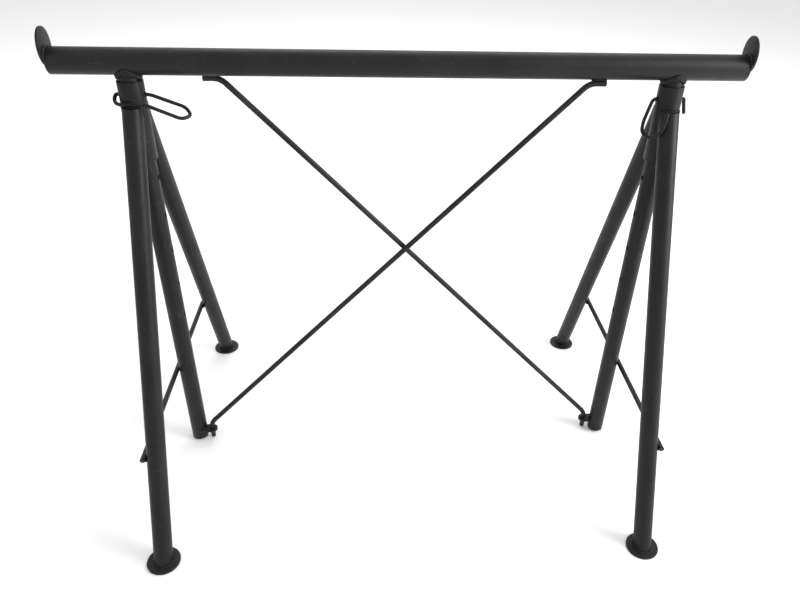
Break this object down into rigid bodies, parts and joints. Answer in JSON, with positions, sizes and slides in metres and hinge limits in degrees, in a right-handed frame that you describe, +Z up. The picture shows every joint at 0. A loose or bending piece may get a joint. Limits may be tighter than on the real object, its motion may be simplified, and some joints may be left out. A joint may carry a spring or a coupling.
{
  "type": "folding sawhorse",
  "caption": "Height-adjustable folding sawhorse of round steel tube, with a beam, crossed rods, swinging leg sets and bent wire locking pins.",
  "frame": {"origin": "on the floor, under the middle of the beam", "axes": "+X along the beam to the right, -Y towards the front, +Z up"},
  "size_m": [1.1466, 0.724, 0.8632],
  "materials": {
    "frame_paint": "satin charcoal enamel with small scuffs",
    "leg_paint": "satin charcoal enamel with small scuffs",
    "rod_paint": "satin charcoal enamel",
    "pin_paint": "satin charcoal enamel, worn on the loop"
  },
  "bodies": {
    "left_leg_set": {"sleeve_left": "leg_paint", "front_leg_left": "leg_paint", "rear_leg_left": "leg_paint", "front_foot_left": "leg_paint", "rear_foot_left": "leg_paint", "spreader_rod_left": "rod_paint"},
    "left_post": {"post_left": "frame_paint"},
    "frame": {"beam_tube": "frame_paint", "end_stop_left": "frame_paint", "end_stop_right": "frame_paint", "brace_rod_front": "rod_paint", "brace_rod_rear": "rod_paint", "brace_lug_left": "frame_paint", "brace_lug_right": "frame_paint"},
    "right_post": {"post_right": "frame_paint"},
    "right_leg_set": {"sleeve_right": "leg_paint", "front_leg_right": "leg_paint", "rear_leg_right": "leg_paint", "front_foot_right": "leg_paint", "rear_foot_right": "leg_paint", "spreader_rod_right": "rod_paint"},
    "left_pin": {"lock_pin_left": "pin_paint"},
    "right_pin": {"lock_pin_right": "pin_paint"}
  },
  "joints": [
    {"name": "frame_lift", "type": "slide", "parent": "left_leg_set", "child": "left_post", "axis": [0, 0, 1], "range_m": [0, 0.432]},
    {"name": "left_fold", "type": "hinge", "parent": "left_post", "child": "frame", "pos_m": [-0.45, 0, 0], "axis": [0, 0, -1], "range_deg": [-82, 0]},
    {"name": "right_fold", "type": "hinge", "parent": "frame", "child": "right_post", "pos_m": [0.45, 0, 0], "axis": [0, 0, -1], "range_deg": [-82, 0]},
    {"name": "right_legs_drop", "type": "slide", "parent": "right_post", "child": "right_leg_set", "axis": [0, 0, -1], "range_m": [0, 0.432]},
    {"name": "left_pin_turn", "type": "hinge", "parent": "left_leg_set", "child": "left_pin", "pos_m": [-0.45, 0, 0.7598], "axis": [-1, 0, 0], "range_deg": [0, 35]},
    {"name": "right_pin_turn", "type": "hinge", "parent": "right_leg_set", "child": "right_pin", "pos_m": [0.45, 0, 0.7598], "axis": [-1, 0, 0], "range_deg": [0, 60]}
  ]
}
